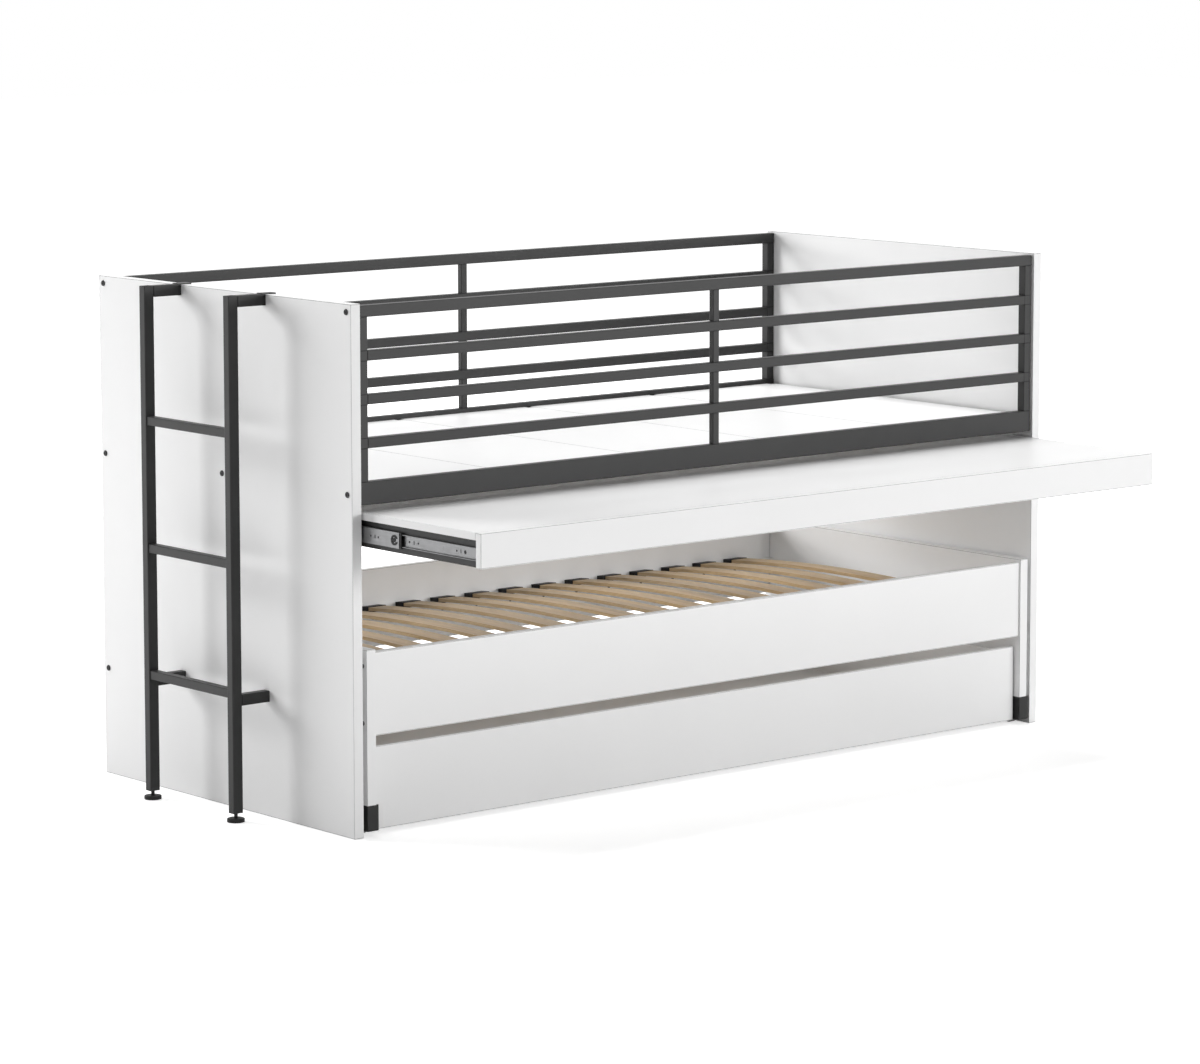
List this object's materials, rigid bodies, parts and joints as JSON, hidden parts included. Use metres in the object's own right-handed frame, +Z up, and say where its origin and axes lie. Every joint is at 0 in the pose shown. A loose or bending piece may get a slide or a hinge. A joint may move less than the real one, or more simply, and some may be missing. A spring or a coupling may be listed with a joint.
{
  "type": "mid sleeper bed",
  "caption": "Mid sleeper bed with panel ends, tube guards, hook-on ladder, pull-out desk, slatted lower bed on rollers and a drawer beneath it.",
  "frame": {"origin": "centre of the footprint on the floor, with the desk pulled out as pictured", "axes": "+X to the right seen from the open front, -Y out of the open front, +Z up"},
  "size_m": [2.184, 1.356, 1.153],
  "materials": {
    "white_laminate": "satin laminated board",
    "dark_grey_tube": "satin powder coat",
    "black_steel": "black finish",
    "black_plastic": "fine grain",
    "zinc_steel": "zinc plated",
    "beech": "clear lacquer",
    "white_batten": "painted",
    "roller_plastic": "smooth"
  },
  "bodies": {
    "bed_frame": {"end_panel_left": "white_laminate", "end_panel_right": "white_laminate", "front_top_rail": "dark_grey_tube", "front_mid_rails": "dark_grey_tube", "front_side_rail": "dark_grey_tube", "front_guard_posts": "dark_grey_tube", "rear_top_rail": "dark_grey_tube", "rear_mid_rails": "dark_grey_tube", "rear_side_rail": "dark_grey_tube", "rear_guard_posts": "dark_grey_tube", "base_ledges": "dark_grey_tube", "centre_beam": "dark_grey_tube", "rear_stretcher": "dark_grey_tube", "base_board_1": "white_laminate", "base_board_2": "white_laminate", "base_board_3": "white_laminate", "base_board_4": "white_laminate", "base_board_5": "white_laminate", "panel_bolts": "black_steel", "ladder_stiles": "dark_grey_tube", "ladder_rungs": "dark_grey_tube", "ladder_arms": "dark_grey_tube", "ladder_hooks": "black_steel", "ladder_end_plugs": "black_plastic", "slide_outer_members": "zinc_steel", "slide_outer_screws": "zinc_steel"},
    "front_foot": {"ladder_foot_front": "black_plastic"},
    "rear_foot": {"ladder_foot_rear": "black_plastic"},
    "desk": {"desk_top": "white_laminate", "desk_fascia": "white_laminate", "desk_side_carriers": "dark_grey_tube", "desk_back_rail": "dark_grey_tube", "slide_inner_members": "zinc_steel", "slide_inner_screws": "zinc_steel"},
    "slide_middle": {"slide_middle_members": "zinc_steel", "slide_bumpers": "black_plastic", "slide_latches": "black_plastic"},
    "slide_outer_cage": {"slide_outer_ball_cages": "zinc_steel"},
    "slide_inner_cage": {"slide_inner_ball_cages": "zinc_steel"},
    "lower_bed": {"lower_bed_side_left": "white_laminate", "lower_bed_side_right": "white_laminate", "lower_bed_front": "white_laminate", "lower_bed_back": "white_laminate", "lower_bed_ledges": "white_batten", "slats": "beech", "slat_caps": "black_plastic", "slat_cap_screws": "zinc_steel", "lower_bed_screws": "zinc_steel", "lower_bed_shoes": "black_plastic", "lower_bed_axles": "zinc_steel"},
    "lower_bed_front_axle": {"lower_bed_front_wheels": "roller_plastic"},
    "lower_bed_rear_axle": {"lower_bed_rear_wheels": "roller_plastic"},
    "drawer": {"drawer_front": "white_laminate", "drawer_sides": "white_laminate", "drawer_back": "white_laminate", "drawer_base": "white_laminate", "drawer_castor_frames": "zinc_steel"},
    "drawer_front_axle": {"drawer_front_wheels": "roller_plastic"},
    "drawer_rear_axle": {"drawer_rear_wheels": "roller_plastic"}
  },
  "joints": [
    {"name": "front_foot_turn", "type": "hinge", "parent": "bed_frame", "child": "front_foot", "pos_m": [-1.0725, 0.0398, 0], "axis": [0, 0, 1], "range_deg": [-360, 360]},
    {"name": "rear_foot_turn", "type": "hinge", "parent": "bed_frame", "child": "rear_foot", "pos_m": [-1.0725, 0.3602, 0], "axis": [0, 0, 1], "range_deg": [-360, 360]},
    {"name": "desk_slide", "type": "slide", "parent": "bed_frame", "child": "desk", "axis": [0, -1, 0], "range_m": [-0.4, 0.1]},
    {"name": "slide_middle_travel", "type": "slide", "parent": "bed_frame", "child": "slide_middle", "axis": [0, -1, 0], "range_m": [-0.1551, 0.0389]},
    {"name": "outer_cage_travel", "type": "slide", "parent": "bed_frame", "child": "slide_outer_cage", "axis": [0, -1, 0], "range_m": [-0.0776, 0.0195]},
    {"name": "inner_cage_travel", "type": "slide", "parent": "bed_frame", "child": "slide_inner_cage", "axis": [0, -1, 0], "range_m": [-0.2776, 0.0695]},
    {"name": "lower_bed_roll_out", "type": "slide", "parent": "bed_frame", "child": "lower_bed", "axis": [0, -1, 0], "range_m": [0, 0.95]},
    {"name": "lower_bed_front_wheel_spin", "type": "hinge", "parent": "lower_bed", "child": "lower_bed_front_axle", "pos_m": [0.0515, -0.232, 0.021], "axis": [1, 0, 0], "continuous": true},
    {"name": "lower_bed_rear_wheel_spin", "type": "hinge", "parent": "lower_bed", "child": "lower_bed_rear_axle", "pos_m": [0.0515, 0.5975, 0.021], "axis": [1, 0, 0], "continuous": true},
    {"name": "drawer_roll_out", "type": "slide", "parent": "bed_frame", "child": "drawer", "axis": [0, -1, 0], "range_m": [0, 0.8]},
    {"name": "drawer_front_wheel_spin", "type": "hinge", "parent": "drawer", "child": "drawer_front_axle", "pos_m": [0.0515, -0.1835, 0.014], "axis": [1, 0, 0], "continuous": true},
    {"name": "drawer_rear_wheel_spin", "type": "hinge", "parent": "drawer", "child": "drawer_rear_axle", "pos_m": [0.0515, 0.5465, 0.014], "axis": [1, 0, 0], "continuous": true}
  ],
  "couplings": [
    {"joint": "slide_middle_travel", "follows": "desk_slide", "ratio": 0.3875},
    {"joint": "outer_cage_travel", "follows": "desk_slide", "ratio": 0.19375},
    {"joint": "inner_cage_travel", "follows": "desk_slide", "ratio": 0.69375},
    {"joint": "lower_bed_front_wheel_spin", "follows": "lower_bed_roll_out", "rad_per_m": 47.619},
    {"joint": "lower_bed_rear_wheel_spin", "follows": "lower_bed_roll_out", "rad_per_m": 47.619},
    {"joint": "drawer_front_wheel_spin", "follows": "drawer_roll_out", "rad_per_m": 71.429},
    {"joint": "drawer_rear_wheel_spin", "follows": "drawer_roll_out", "rad_per_m": 71.429}
  ]
}
